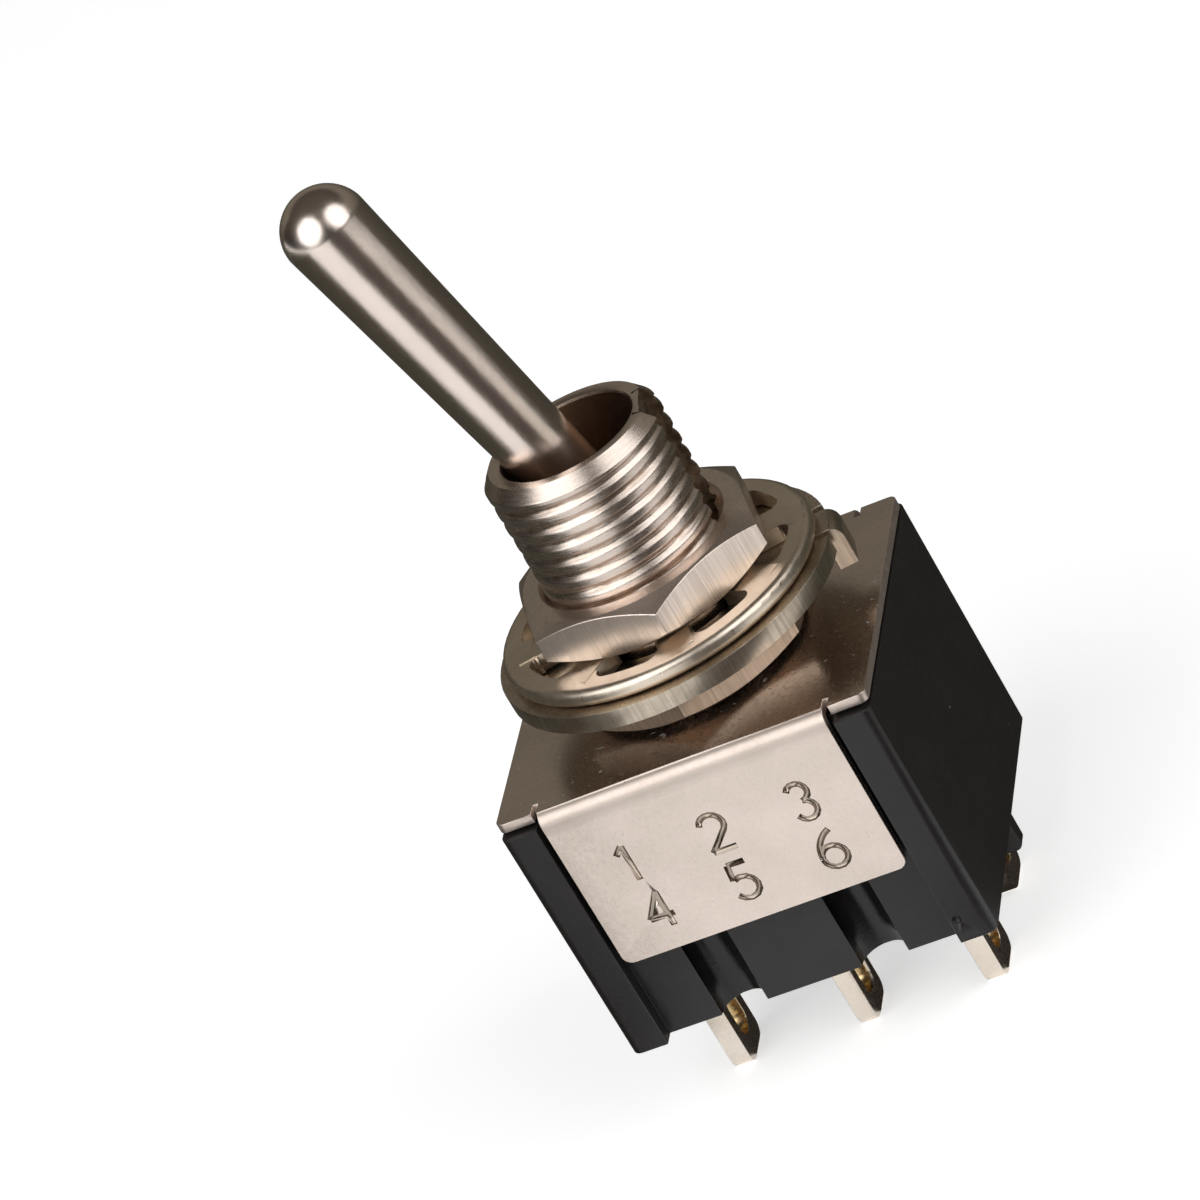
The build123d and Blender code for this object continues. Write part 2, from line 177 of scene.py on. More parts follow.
def linked(name, data):
    """A new object of the scene."""
    thing = bpy.data.objects.new(name, data)
    bpy.context.scene.collection.objects.link(thing)
    return thing


def stand_for(piece, node):
    """Puts a piece in the place of a CAD node, on the node's own body."""
    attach(piece, frame["nodes"][node]["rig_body"])
    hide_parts(node)
    return piece


def place(name, shell, node, finish, sharp, turn=None):
    """Makes the piece that stands for a CAD node. Edges over the sharp angle stay crisp."""
    material, slot = finish
    mesh = shell.mesh(name, turn)
    mesh.materials.append(material)
    mesh.shade_smooth()
    mesh.set_sharp_from_angle(angle=math.radians(sharp))
    return stand_for(linked(name, mesh), node)


def tint(piece, finish, chosen):
    """Gives one more finish to the faces whose middle and normal pass a test."""
    piece.data.materials.append(finish[0])
    for face in piece.data.polygons:
        if chosen(face.center / MM, face.normal):
            face.material_index = len(piece.data.materials) - 1


def soften(piece, width, segments, angle):
    """Rounds the edges of a piece that turn by more than an angle, by a width in millimetres."""
    bevel = piece.modifiers.new("soft_edges", "BEVEL")
    bevel.width = width * MM
    bevel.segments = segments
    bevel.limit_method = "ANGLE"
    bevel.angle_limit = math.radians(angle)
    bevel.harden_normals = True


def flatten(piece):
    """Weights a piece's normals so that its large faces look flat."""
    normals = piece.modifiers.new("flat_faces", "WEIGHTED_NORMAL")
    normals.keep_sharp = True
    normals.weight = 80


def carve(piece, tool):
    """Cuts another object's shape out of a piece."""
    cut = piece.modifiers.new("cut", "BOOLEAN")
    cut.operation = "DIFFERENCE"
    cut.solver = "EXACT"
    cut.use_self = True
    cut.object = tool


def worked_copy(name, node, finish, edge, cutter=None, segments=3):
    """A piece on a CAD node's own surface, with rounded edges and a cutter's marks in it."""
    material, slot = finish
    source = frame["nodes"][node]
    mesh = source.data.copy()
    mesh.transform(source.matrix_world)
    mesh.materials.clear()
    mesh.materials.append(material)
    work = bmesh.new()
    work.from_mesh(mesh)
    bmesh.ops.remove_doubles(work, verts=work.verts, dist=weld_distance * MM)
    bmesh.ops.dissolve_limit(work, angle_limit=math.radians(flat_angle), verts=work.verts,
                             edges=work.edges)
    work.to_mesh(mesh)
    work.free()
    piece = linked(name, mesh)
    soften(piece, edge, segments, edge_angle)
    if cutter:
        tool = linked(name + "_cutter", cutter.mesh(name + "_cutter"))
        carve(piece, tool)
    graph = bpy.context.evaluated_depsgraph_get()
    finished = bpy.data.meshes.new_from_object(piece.evaluated_get(graph))
    piece.modifiers.clear()
    piece.data = finished
    if cutter:
        bpy.data.objects.remove(tool)
    finished.shade_smooth()
    finished.set_sharp_from_angle(angle=math.radians(edge_angle))
    flatten(piece)
    return stand_for(piece, node)


def around(radius, z, count):
    """Points of a circle about Z."""
    return [(radius * math.cos(2 * math.pi * i / count), radius * math.sin(2 * math.pi * i / count), z)
            for i in range(count)]


def circle(centre, across, up, radius, count=10):
    """Points of a circle in the plane of two unit vectors."""
    return [centre + radius * (math.cos(2 * math.pi * k / count) * across
                               + math.sin(2 * math.pi * k / count) * up)
            for k in range(count)]


def arc(centre_r, centre_z, radius, start, end, steps):
    """(radius, height) points of an arc, angles in degrees from outwards to up."""
    points = []
    for i in range(steps + 1):
        angle = math.radians(start + (end - start) * i / steps)
        points.append((centre_r + radius * math.cos(angle), centre_z + radius * math.sin(angle)))
    return points


def tube(shell, path, radius):
    """Closed round bar along a list of points."""
    points = [Vector(p) for p in path]
    rings = []
    for i, point in enumerate(points):
        along = (points[min(i + 1, len(points) - 1)] - points[max(i - 1, 0)]).normalized()
        across = along.cross(Vector((0, 1, 0))).normalized()
        rings.append(circle(point, across, across.cross(along), radius))
    rows = shell.rows(rings)
    shell.cap(rows[0][::-1])
    shell.cap(rows[-1])


def ball(centre, radius, sides=20, steps=10, last=80):
    """Shell of a sphere, with its last rings at an angle in degrees from the middle."""
    centre = Vector(centre)
    shell = Shell()
    rows = shell.rows([[centre + Vector(p) for p in around(r, z, sides)]
                       for r, z in arc(0, 0, radius, -last, last, steps)])
    shell.cap(rows[0][::-1], centre - Vector((0, 0, radius)))
    shell.cap(rows[-1], centre + Vector((0, 0, radius)))
    return shell


# ---------------------------------------------------------------- materials

def nodes_of(name):
    """A new node material, its tree and its shader."""
    material = bpy.data.materials.new(name)
    material.use_nodes = True
    return material, material.node_tree, material.node_tree.nodes["Principled BSDF"]


def coordinates(tree, scale=(1, 1, 1)):
    """Object coordinates in millimetres, stretched by scale."""
    source = tree.nodes.new("ShaderNodeTexCoord")
    mapping = tree.nodes.new("ShaderNodeMapping")
    mapping.inputs["Scale"].default_value = [factor / MM for factor in scale]
    tree.links.new(source.outputs["Object"], mapping.inputs["Vector"])
    return mapping.outputs["Vector"]


def height_of(tree, where):
    """Z of a point."""
    split = tree.nodes.new("ShaderNodeSeparateXYZ")
    tree.links.new(where, split.inputs[0])
    return split.outputs["Z"]


def radius_of(tree, where):
    """Distance of a point from the Z axis."""
    flat = tree.nodes.new("ShaderNodeVectorMath")
    flat.operation = "MULTIPLY"
    flat.inputs[1].default_value = (1, 1, 0)
    length = tree.nodes.new("ShaderNodeVectorMath")
    length.operation = "LENGTH"
    tree.links.new(where, flat.inputs[0])
    tree.links.new(flat.outputs[0], length.inputs[0])
    return length.outputs["Value"]


def speckle(tree, vector, scale, detail, roughness):
    """Noise with scale in features for each millimetre."""
    texture = tree.nodes.new("ShaderNodeTexNoise")
    texture.inputs["Scale"].default_value = scale
    texture.inputs["Detail"].default_value = detail
    texture.inputs["Roughness"].default_value = roughness
    tree.links.new(vector, texture.inputs["Vector"])
    return texture.outputs["Fac"]


def remap(tree, value, low, high, out_low=0.0, out_high=1.0):
    """Value moved from one range to another, held at the ends."""
    node = tree.nodes.new("ShaderNodeMapRange")
    node.inputs["From Min"].default_value = low
    node.inputs["From Max"].default_value = high
    node.inputs["To Min"].default_value = out_low
    node.inputs["To Max"].default_value = out_high
    tree.links.new(value, node.inputs["Value"])
    return node.outputs["Result"]


def join(tree, operation, first, second):
    """Two values joined by an operation of the Math node."""
    node = tree.nodes.new("ShaderNodeMath")
    node.operation = operation
    tree.links.new(first, node.inputs[0])
    tree.links.new(second, node.inputs[1])
    return node.outputs[0]


def product(tree, first, second):
    """Two values multiplied."""
    return join(tree, "MULTIPLY", first, second)


def band(tree, value, rise, fall, peak=1.0):
    """Grows from 0 to the peak over one range of a value, and falls back to 0 over the next."""
    return product(tree, remap(tree, value, *rise, 0.0, peak), remap(tree, value, *fall, 1.0, 0.0))


def blend(tree, factor, first, second):
    """Colour mixed by a factor between two colours."""
    node = tree.nodes.new("ShaderNodeMix")
    node.data_type = "RGBA"
    tree.links.new(factor, node.inputs["Factor"])
    for socket, colour in (("A", first), ("B", second)):
        target = [s for s in node.inputs if s.name == socket and s.type == "RGBA"][0]
        if isinstance(colour, tuple):
            target.default_value = (*colour, 1.0)
        else:
            tree.links.new(colour, target)
    return [s for s in node.outputs if s.type == "RGBA"][0]


def relief(tree, shader, height, depth):
    """Bump of a depth in millimetres."""
    node = tree.nodes.new("ShaderNodeBump")
    node.inputs["Strength"].default_value = 1.0
    node.inputs["Distance"].default_value = depth * MM
    tree.links.new(height, node.inputs["Height"])
    tree.links.new(node.outputs["Normal"], shader.inputs["Normal"])


def thread_root_shade(tree, where, crest, depth, top):
    """Patchy painted shade, full at the bottom of the grooves round Z and none on their crests or above a
    top.
    """
    deep = remap(tree, radius_of(tree, where), crest - depth, crest, 1.0, 0.0)
    below = remap(tree, height_of(tree, where), top - 0.1, top, 1.0, 0.0)
    patches = remap(tree, speckle(tree, where, 1.4, 4.0, 0.6), 0.38, 0.62)
    return product(tree, product(tree, deep, below), patches)


def seam_grime(tree, where, seam):
    """A thin line of grime just above a height."""
    return band(tree, height_of(tree, where), (seam + 0.002, seam + 0.01), (seam + 0.03, seam + 0.06))


def motes(tree, where, level):
    """Specks of dust on what lies above a height."""
    return product(tree, remap(tree, speckle(tree, where, 3.4, 2.0, 0.5), 0.70, 0.74),
                   remap(tree, height_of(tree, where), level - 0.05, level))


def bend_dullness(tree, where, top):
    """More roughness on the outside of a bend that ends at a top."""
    return band(tree, height_of(tree, where), (top - 0.9, top - 0.55), (top - 0.03, top - 0.005), 0.22)


nickel_bright = (0.80, 0.69, 0.62)
nickel_dull = (0.66, 0.57, 0.50)
# Grime colour for the washers' joint line, also used as painted shade in the thread roots
grime_and_shade = (0.30, 0.20, 0.11)
dust = (0.30, 0.27, 0.24)
streak_shade = 0.45
rub_shade = 1.35


def plating(name, bright, dull, roughness, grain=(1, 1, 1), grain_scale=6.0, grain_depth=0.004,
            patch=0.35, streak=None, grooves=None, seam=None, dusty=None, bend_top=None):
    """Plated metal whose tint, gloss and grain vary a little.

    Patch is how many stains there are to a millimetre, and streak is how dark the grain's own lines are.
    Grooves are (crest radius, depth, top) of turned grooves whose roots get patchy painted shade, and seam
    is the height of a joint with a line of grime above it. Dust lies above the dusty height, and bend_top
    is the height where a duller bend ends.
    """
    material, tree, shader = nodes_of(name)
    shader.inputs["Metallic"].default_value = 1.0
    where = coordinates(tree)
    fine = speckle(tree, coordinates(tree, grain), grain_scale, 6.0, 0.65)
    stain = remap(tree, speckle(tree, where, patch, 5.0, 0.6), 0.35, 0.7)
    colour = blend(tree, stain, bright, dull)
    if streak:
        lines = remap(tree, fine, 0.40, 0.66, 0.0, streak)
        colour = blend(tree, lines, colour, tuple(streak_shade * c for c in dull))
    if grooves:
        colour = blend(tree, thread_root_shade(tree, where, *grooves), colour, grime_and_shade)
    if seam:
        colour = blend(tree, seam_grime(tree, where, seam), colour, grime_and_shade)
    if dusty:
        dusted = motes(tree, where, dusty)
        colour = blend(tree, dusted, colour, dust)
        tree.links.new(remap(tree, dusted, 0.0, 1.0, 1.0, 0.0), shader.inputs["Metallic"])
    tree.links.new(colour, shader.inputs["Base Color"])
    dullness = remap(tree, fine, 0.3, 0.7, *roughness)
    if bend_top:
        dullness = join(tree, "ADD", dullness, bend_dullness(tree, where, bend_top))
    tree.links.new(dullness, shader.inputs["Roughness"])
    relief(tree, shader, fine, grain_depth)
    return material


def moulding(name, colour, speck, roughness):
    """Moulded plastic with a fine skin, faint rubs and specks of another colour."""
    material, tree, shader = nodes_of(name)
    where = coordinates(tree)
    skin = speckle(tree, where, 9.0, 6.0, 0.7)
    rub = remap(tree, speckle(tree, where, 0.6, 6.0, 0.62), 0.45, 0.75)
    mote = remap(tree, speckle(tree, where, 2.6, 2.0, 0.5), 0.80, 0.83)
    base = blend(tree, rub, colour, tuple(rub_shade * c for c in colour))
    tree.links.new(blend(tree, mote, base, speck), shader.inputs["Base Color"])
    tree.links.new(remap(tree, skin, 0.3, 0.7, *roughness), shader.inputs["Roughness"])
    shader.inputs["Specular IOR Level"].default_value = 0.45
    relief(tree, shader, skin, 0.006)
    return material


# Each finish is a material and the record's slot that it stands for
finishes = {
    "case": (moulding("satin_moulding", (0.0140, 0.0122, 0.0122), (0.30, 0.29, 0.28), (0.30, 0.44)),
             "case_plastic"),
    # Darker plating inside the stamped strokes: painted shade
    "stamped": (plating("stamped_plating", (0.46, 0.39, 0.33), (0.36, 0.30, 0.25), (0.18, 0.28)),
                "plated_sheet"),
    "groove": (moulding("glossy_moulding", (0.005, 0.0047, 0.005), (0.02, 0.02, 0.02), (0.14, 0.22)),
               "case_plastic"),
    "sheet": (plating("sheet_plating", nickel_bright, (0.70, 0.61, 0.54), (0.20, 0.30), grain_depth=0.0025,
                      dusty=plate_high.z - 0.1, bend_top=plate_high.z), "plated_sheet"),
    # The thread roots get patchy painted shade
    "turned": (plating("turned_plating", nickel_bright, nickel_dull, (0.20, 0.34), (0.3, 0.3, 6),
                       grooves=(thread_radius - 0.04, 0.2, bushing_high.z - 0.4)),
               "plated_turned"),
    # Dark brown inside the bushing's mouth: painted shade
    "bore": (plating("greased_bore", (0.20, 0.13, 0.085), (0.12, 0.075, 0.05), (0.30, 0.45)),
             "plated_turned"),
    # Patchy dark brown on the keyway's walls and floor: painted shade
    "slot": (plating("grimy_slot", (0.66, 0.55, 0.45), (0.20, 0.15, 0.10), (0.28, 0.42), patch=2.6),
             "plated_turned"),
    "lever": (plating("lever_plating", (0.86, 0.75, 0.68), (0.80, 0.70, 0.63), (0.21, 0.26), (1, 1, 0.3)),
              "polished_lever"),
    "nut": (plating("nut_plating", (0.92, 0.80, 0.72), (0.80, 0.69, 0.61), (0.26, 0.36), (8, 8, 0.12), 1.6,
                    0.003, streak=0.35), "plated_nut"),
    "low_nut": (plating("shaded_nut_plating", (0.66, 0.56, 0.46), (0.48, 0.39, 0.31), (0.26, 0.36),
                        (8, 8, 0.12), 1.6, 0.003, streak=0.4), "plated_nut"),
    "washer": (plating("washer_plating", (0.90, 0.80, 0.68), (0.70, 0.61, 0.50), (0.26, 0.40), (5, 5, 0.4),
                       2.5, 0.003, seam=washer_seam), "plated_washer"),
    "rim": (plating("keyed_washer_plating", (0.74, 0.65, 0.54), (0.50, 0.42, 0.33), (0.26, 0.38),
                    (6, 6, 0.15), 1.6, 0.003, patch=0.9, streak=0.45), "plated_washer"),
    "lug": (plating("lug_plating", (0.90, 0.82, 0.73), (0.78, 0.69, 0.58), (0.22, 0.38), grain_depth=0.002),
            "lug_plating"),
    "strip": (plating("contact_strip", (0.72, 0.48, 0.30), (0.60, 0.40, 0.25), (0.25, 0.4)),
              "contact_strip"),
    "silver": (plating("contact_silver", (0.86, 0.84, 0.80), (0.76, 0.74, 0.70), (0.2, 0.32)),
               "contact_silver"),
    "brass": (plating("plunger_brass", (0.80, 0.60, 0.32), (0.68, 0.50, 0.26), (0.2, 0.34)),
              "plunger_brass"),
    "spring": (plating("spring_steel", (0.62, 0.60, 0.58), (0.50, 0.48, 0.46), (0.2, 0.34)),
               "spring_steel"),
    "bar": (moulding("bar_moulding", (0.62, 0.58, 0.50), (0.7, 0.68, 0.62), (0.4, 0.55)),
            "bar_plastic"),
    "resin": (moulding("potting_resin", (0.045, 0.040, 0.036), (0.2, 0.19, 0.18), (0.18, 0.34)),
              "potting_resin"),
}


# ---------------------------------------------------------------- turned lever

tip_radius = 1.5
dome_height = 1.42
shoulder_radius = 0.9
neck_radius = 1.2
ball_radius = 2.0
tail_radius = 0.7
tail_length = 7.7
tail_chamfer = 0.08
lever_length = 15.45
lever_sides = 96
ball_steps = 24
taper_steps = 24
shoulder_steps = 10
dome_steps = 16
dome_end = 89.0


def lever_profile():
    """(radius, height) points from the end of the tail, over the ball, to the tip of the dome."""
    dome_base = lever_length - dome_height
    shoulder_x = tip_radius - shoulder_radius
    cap_radius = (shoulder_x ** 2 + dome_height ** 2 - shoulder_radius ** 2) / (
        2 * (dome_height - shoulder_radius))
    cap_z = lever_length - cap_radius
    turn = math.degrees(math.atan2(dome_base - cap_z, shoulder_x))
    ball_low = -math.degrees(math.acos(tail_radius / ball_radius))
    ball_high = math.degrees(math.acos(neck_radius / ball_radius))
    points = [(tail_radius - tail_chamfer, -tail_length), (tail_radius, -tail_length + tail_chamfer)]
    points += arc(0, 0, ball_radius, ball_low, ball_high, ball_steps)
    neck_z = points[-1][1]
    for i in range(1, taper_steps):
        share = i / taper_steps
        points.append((neck_radius + (tip_radius - neck_radius) * share,
                       neck_z + (dome_base - neck_z) * share))
    points += arc(shoulder_x, dome_base, shoulder_radius, 0, turn, shoulder_steps)
    points += arc(0, cap_z, cap_radius, turn, dome_end, dome_steps)[1:]
    return points


def make_lever():
    """One turned piece: tail, ball and tapered arm with a rounded end."""
    shell = Shell()
    rows = shell.rows([around(r, z, lever_sides) for r, z in lever_profile()])
    shell.cap(rows[0][::-1], (0, 0, -tail_length))
    shell.cap(rows[-1], (0, 0, lever_length))
    turn = Matrix.Translation(pivot) @ lever_lean
    place("turned_lever", shell, "toggle_lever", finishes["lever"], sharp=40, turn=turn)


# ---------------------------------------------------------------- threaded bushing

core_radius = 2.97
thread_pitch = 0.635
thread_depth = 0.125
flank_share = 0.72
# Wear is noise: how far it moves the crests, its share of the depth, and how fast it varies
crest_wear = 0.02
flank_wear = 0.5
wear_round = 3
wear_up = 2.2
mouth_radius = 2.35
mouth_lip = 0.12
lip_curve = 0.3
throat_radius = 1.75
seat_radius = 2.05
# Degrees that the seat reaches up over the ball
seat_reach = 58
seat_steps = 8
tail_bore_radius = 2.55
flange_radius = 3.9
plate_thickness = 0.35
chamfer_width = 0.385
chamfer_height = 0.45
# The keyway's floor from the middle, half its width and the noise on its floor
keyway_floor = 2.6
keyway_half = 0.85
keyway_tear = 0.03
tear_across = 3
tear_up = 4
key_angle = math.radians(9.0)
nut_countersink = 0.37
thread_start = upper_nut_top - nut_countersink
thread_columns = 236
floor_columns = 10
rows_per_turn = 14
core_step = 0.4


def ramp(value, low, high):
    """0 below low, 1 above high, smooth between."""
    share = min(max((value - low) / (high - low), 0.0), 1.0)
    return share * share * (3 - 2 * share)


def core_at(angle, z):
    """Radius of the plain stem below the thread."""
    return core_radius


def thread_at(angle, z):
    """Radius of the worn thread at an angle and a height, between its run-out and the top's chamfer."""
    phase = (z / thread_pitch - angle / (2 * math.pi)) % 1.0
    flank = abs(2 * phase - 1)
    wear = noise.noise(Vector((math.cos(angle) * wear_round, math.sin(angle) * wear_round, z * wear_up)))
    depth = thread_depth * (1 + flank_wear * wear)
    radius = thread_radius - crest_wear - depth * (1 - ramp(flank, 0.0, flank_share)) + crest_wear * wear
    chamfer = thread_radius - chamfer_width + (bushing_high.z - z) * chamfer_width / chamfer_height
    run_out = core_radius + max(0.0, z - thread_start)
    return min(radius, chamfer, run_out)


def bushing_columns():
    """Angles round the bushing, each with its share of the way round, or None on the keyway's floor."""
    half = math.asin(keyway_half / thread_radius)
    columns = []
    for i in range(thread_columns + 1):
        share = i / thread_columns
        columns.append((key_angle + half + (2 * math.pi - 2 * half) * share, share))
    for i in range(floor_columns + 1):
        across = -1 + 2 * i / floor_columns
        columns.append((key_angle + math.atan2(across * keyway_half, keyway_floor), None))
    return columns


def plain_ring(columns, radius, z):
    """A full circle of the bushing."""
    return [(radius * math.cos(angle), radius * math.sin(angle), z) for angle, share in columns]


def slotted_ring(columns, radius_at, z):
    """A circle of the bushing with the keyway in it: two plane walls and a torn floor."""
    points = []
    for angle, share in columns:
        if share is None:
            across = math.tan(angle - key_angle) * keyway_floor
            tear = noise.noise(Vector((across * tear_across, z * tear_up, 7.0)))
            along = keyway_floor + keyway_tear * tear
        else:
            radius = radius_at(angle, z)
            half = math.asin(keyway_half / radius)
            turned = half + (2 * math.pi - 2 * half) * share
            across = radius * math.sin(turned)
            along = radius * math.cos(turned)
        points.append((along * math.cos(key_angle) - across * math.sin(key_angle),
                       along * math.sin(key_angle) + across * math.cos(key_angle), z))
    return points


def bushing_outside(columns):
    """Rings up the outside: flange, stem and thread."""
    flange_top = plate_high.z - plate_thickness
    foot = [(flange_radius, bushing_low.z), (flange_radius, flange_top), (core_radius, flange_top),
            (core_radius, plate_high.z)]
    rings = [plain_ring(columns, r, z) for r, z in foot]
    level = plate_high.z
    while level < thread_start:
        rings.append(slotted_ring(columns, core_at, level))
        level += core_step
    threaded = bushing_high.z - thread_start
    steps = int(threaded / (thread_pitch / rows_per_turn))
    for i in range(steps + 1):
        rings.append(slotted_ring(columns, thread_at, thread_start + threaded * i / steps))
    return rings


def bushing_inside(columns):
    """Rings down the inside: rounded mouth, throat, ball seat and the tail's bore."""
    top = bushing_high.z
    seat_top = pivot.z + math.sqrt(seat_radius ** 2 - throat_radius ** 2)
    bulge = mouth_lip * lip_curve
    profile = [(mouth_radius + mouth_lip, top), (mouth_radius + bulge, top - bulge),
               (mouth_radius, top - mouth_lip), (throat_radius, seat_top)]
    profile += [(r, pivot.z + z) for r, z in arc(0, 0, seat_radius, seat_reach, 0, seat_steps)]
    profile.append((tail_bore_radius, bushing_low.z))
    return [plain_ring(columns, r, z) for r, z in profile]


def in_slot(middle, normal):
    """Whether a face of the bushing is an upright one of the keyway, below the thread's crests."""
    crest_margin, wall_margin, upright = 0.05, 0.01, 0.6
    radius = math.hypot(middle.x, middle.y)
    turned = math.atan2(middle.y, middle.x) - key_angle
    return (mouth_radius < radius < thread_radius - crest_margin and math.cos(turned) > 0
            and abs(radius * math.sin(turned)) < keyway_half + wall_margin and abs(normal.z) < upright)


def in_bore(middle, normal):
    """Whether a face of the bushing is inside its mouth."""
    mouth_margin = 0.03
    return math.hypot(middle.x, middle.y) < mouth_radius - mouth_margin


def make_bushing():
    """Bushing with a helical thread, a rounded mouth and a torn keyway."""
    columns = bushing_columns()
    shell = Shell()
    shell.rows(bushing_outside(columns) + bushing_inside(columns), loop=True)
    piece = place("threaded_bushing", shell, "bushing", finishes["turned"], sharp=38)
    # The keyway's upright faces get painted shade
    tint(piece, finishes["slot"], in_slot)
    # The faces inside the mouth get painted shade
    tint(piece, finishes["bore"], in_bore)


# ---------------------------------------------------------------- nuts

nut_across_flats = 8.0
nut_face_radius = 3.9
nut_bore = 2.98
nut_chamfer = math.tan(math.radians(30))
nut_side_steps = 20
nut_edge = 0.03
# How far each nut is turned, in degrees, and its finish
nuts = {"lower_nut": (36.0, "low_nut"), "upper_nut": (46.7, "nut")}


def make_nut(node, degrees, finish):
    """Hexagon nut with chamfered corners and a countersunk bore."""
    low, high = node_box(node)
    turn = math.radians(degrees)
    angles = [turn + math.radians(60 * side + 60 * i / nut_side_steps) for side in range(6)
              for i in range(nut_side_steps)]

    def row(radius_at, z_at):
        return [(radius_at(a) * math.cos(a), radius_at(a) * math.sin(a), z_at(a)) for a in angles]

    def hexagon(angle):
        across = (angle - turn) % math.radians(60) - math.radians(30)
        return nut_across_flats / 2 / math.cos(across)

    def drop(angle):
        return max(0.0, hexagon(angle) - nut_face_radius) * nut_chamfer

    def constant(value):
        return lambda angle: value

    mouth = nut_bore + nut_countersink
    shell = Shell()
    shell.rows([
        row(constant(nut_bore), constant(low.z + nut_countersink)),
        row(constant(nut_bore), constant(high.z - nut_countersink)),
        row(constant(mouth), constant(high.z)),
        row(constant(nut_face_radius), constant(high.z)),
        row(hexagon, lambda a: high.z - drop(a)),
        row(hexagon, lambda a: low.z + drop(a)),
        row(constant(nut_face_radius), constant(low.z)),
        row(constant(mouth), constant(low.z)),
    ], loop=True)
    piece = place("hexagon_" + node, shell, node, finishes[finish], sharp=180)
    soften(piece, nut_edge, segments=2, angle=20)
    flatten(piece)


# ---------------------------------------------------------------- plunger springs

# Along the lever's axis, down from the pivot
spring_top = 6.97
spring_foot = 8.88
spring_radius = 0.34
spring_wire_radius = 0.09
spring_turns = 5.0
closed_turns = 0.75
closed_pitch = 0.19
spring_steps = 120


def spring_fall(turns):
    """How far the wire has come down after a number of turns. The end turns are closed."""
    free_pitch = (spring_foot - spring_top - 2 * spring_wire_radius - 2 * closed_turns * closed_pitch) / (
        spring_turns - 2 * closed_turns)
    free = min(max(turns - closed_turns, 0.0), spring_turns - 2 * closed_turns)
    return (turns - free) * closed_pitch + free * free_pitch


def make_spring(pole):
    """Round wire coil with closed end turns, down from the pivot along the lever's axis."""
    node = "plunger_spring_" + pole
    low, high = node_box(node)
    rings = []
    for i in range(spring_steps + 1):
        turns = spring_turns * i / spring_steps
        out = Vector((math.cos(2 * math.pi * turns), math.sin(2 * math.pi * turns), 0))
        centre = out * spring_radius + Vector((0, 0, -spring_top - spring_wire_radius - spring_fall(turns)))
        rings.append(circle(centre, out, Vector((0, 0, 1)), spring_wire_radius))
    shell = Shell()
    rows = shell.rows(rings)
    shell.cap(rows[0][::-1])
    shell.cap(rows[-1])
    middle = Vector((pivot.x, (low.y + high.y) / 2, pivot.z))
    turn = Matrix.Translation(middle) @ lever_lean
    piece = place("coil_" + node, shell, node, finishes["spring"], sharp=50, turn=turn)
    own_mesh(piece)


# ---------------------------------------------------------------- frame plate with stamped numbers

plate_edge = 0.07
stroke_radius = 0.11
digit_height = 1.4
digit_pitch = 3.1
digit_half_width = 0.3
row_drops = (2.75, 4.75)
flap_half_width = 4.9
flap_foot_margin = 0.4
flap_head_margin = 1.4


def bend(x, y, radius, start, end, steps=9):
    """Points of an arc in a digit's own plane, angles in degrees."""
    return [(x + radius * math.cos(math.radians(start + (end - start) * i / steps)),
             y + radius * math.sin(math.radians(start + (end - start) * i / steps)))
            for i in range(steps + 1)]


# Strokes as shares of the digit's height, across and up
digit_strokes = {
    1: [[(0.10, 0.78), (0.32, 1.0)], [(0.32, 1.0), (0.32, 0.0)]],
    2: [bend(0.30, 0.71, 0.29, 170, -40) + [(0.0, 0.0)], [(0.0, 0.0), (0.60, 0.0)]],
    3: [bend(0.28, 0.755, 0.245, 160, -85), bend(0.28, 0.26, 0.26, 85, -160)],
    4: [[(0.46, 0.0), (0.46, 1.0)], [(0.46, 1.0), (0.0, 0.32)], [(0.0, 0.32), (0.62, 0.32)]],
    5: [[(0.54, 1.0), (0.10, 1.0)], [(0.10, 1.0), (0.06, 0.56)], bend(0.26, 0.31, 0.31, 125, -150)],
    6: [bend(0.78, 0.32, 0.76, 112, 178), bend(0.31, 0.30, 0.30, 180, -180, 14)],
}


def number_cutter():
    """Bars that press the terminal numbers 1 to 6 into the front flap, three to a row."""
    shell = Shell()
    for digit, strokes in digit_strokes.items():
        row, column = divmod(digit - 1, 3)
        left = (column - 1) * digit_pitch - digit_half_width * digit_height
        foot = plate_high.z - row_drops[row] - digit_height / 2
        for stroke in strokes:
            path = [(left + u * digit_height, plate_low.y, foot + v * digit_height) for u, v in stroke]
            tube(shell, path, stroke_radius)
    return shell


def in_number(middle, normal):
    """Whether a face of the plate lies between the front flap's skin and a stroke's depth."""
    skin, past = 0.005, 0.01
    return (abs(middle.x) < flap_half_width
            and plate_low.y + skin < middle.y < plate_low.y + stroke_radius + past
            and plate_low.z + flap_foot_margin < middle.z < plate_high.z - flap_head_margin)


def make_plate():
    """Folded sheet with the terminal numbers stamped into its front flap."""
    piece = worked_copy("folded_frame", "frame_plate", finishes["sheet"], plate_edge, number_cutter())
    # The faces inside the strokes get painted shade
    tint(piece, finishes["stamped"], in_number)


# ---------------------------------------------------------------- case, washers and lugs

case_edge = 0.09
panel_recess = 0.6
groove_offset = 2.55
groove_width = 1.66
groove_depth = 0.9
dimple_radius = 0.17
dimple_inset = 1.03
dimple_drop = 8.76
dimple_lift = 0.06
keyed_washer_edge = 0.15
toothed_washer_edge = 0.01
lug_edge = 0.16
eye_height = 1.625
eye_half_width = 0.62
eye_half_height = 1.0


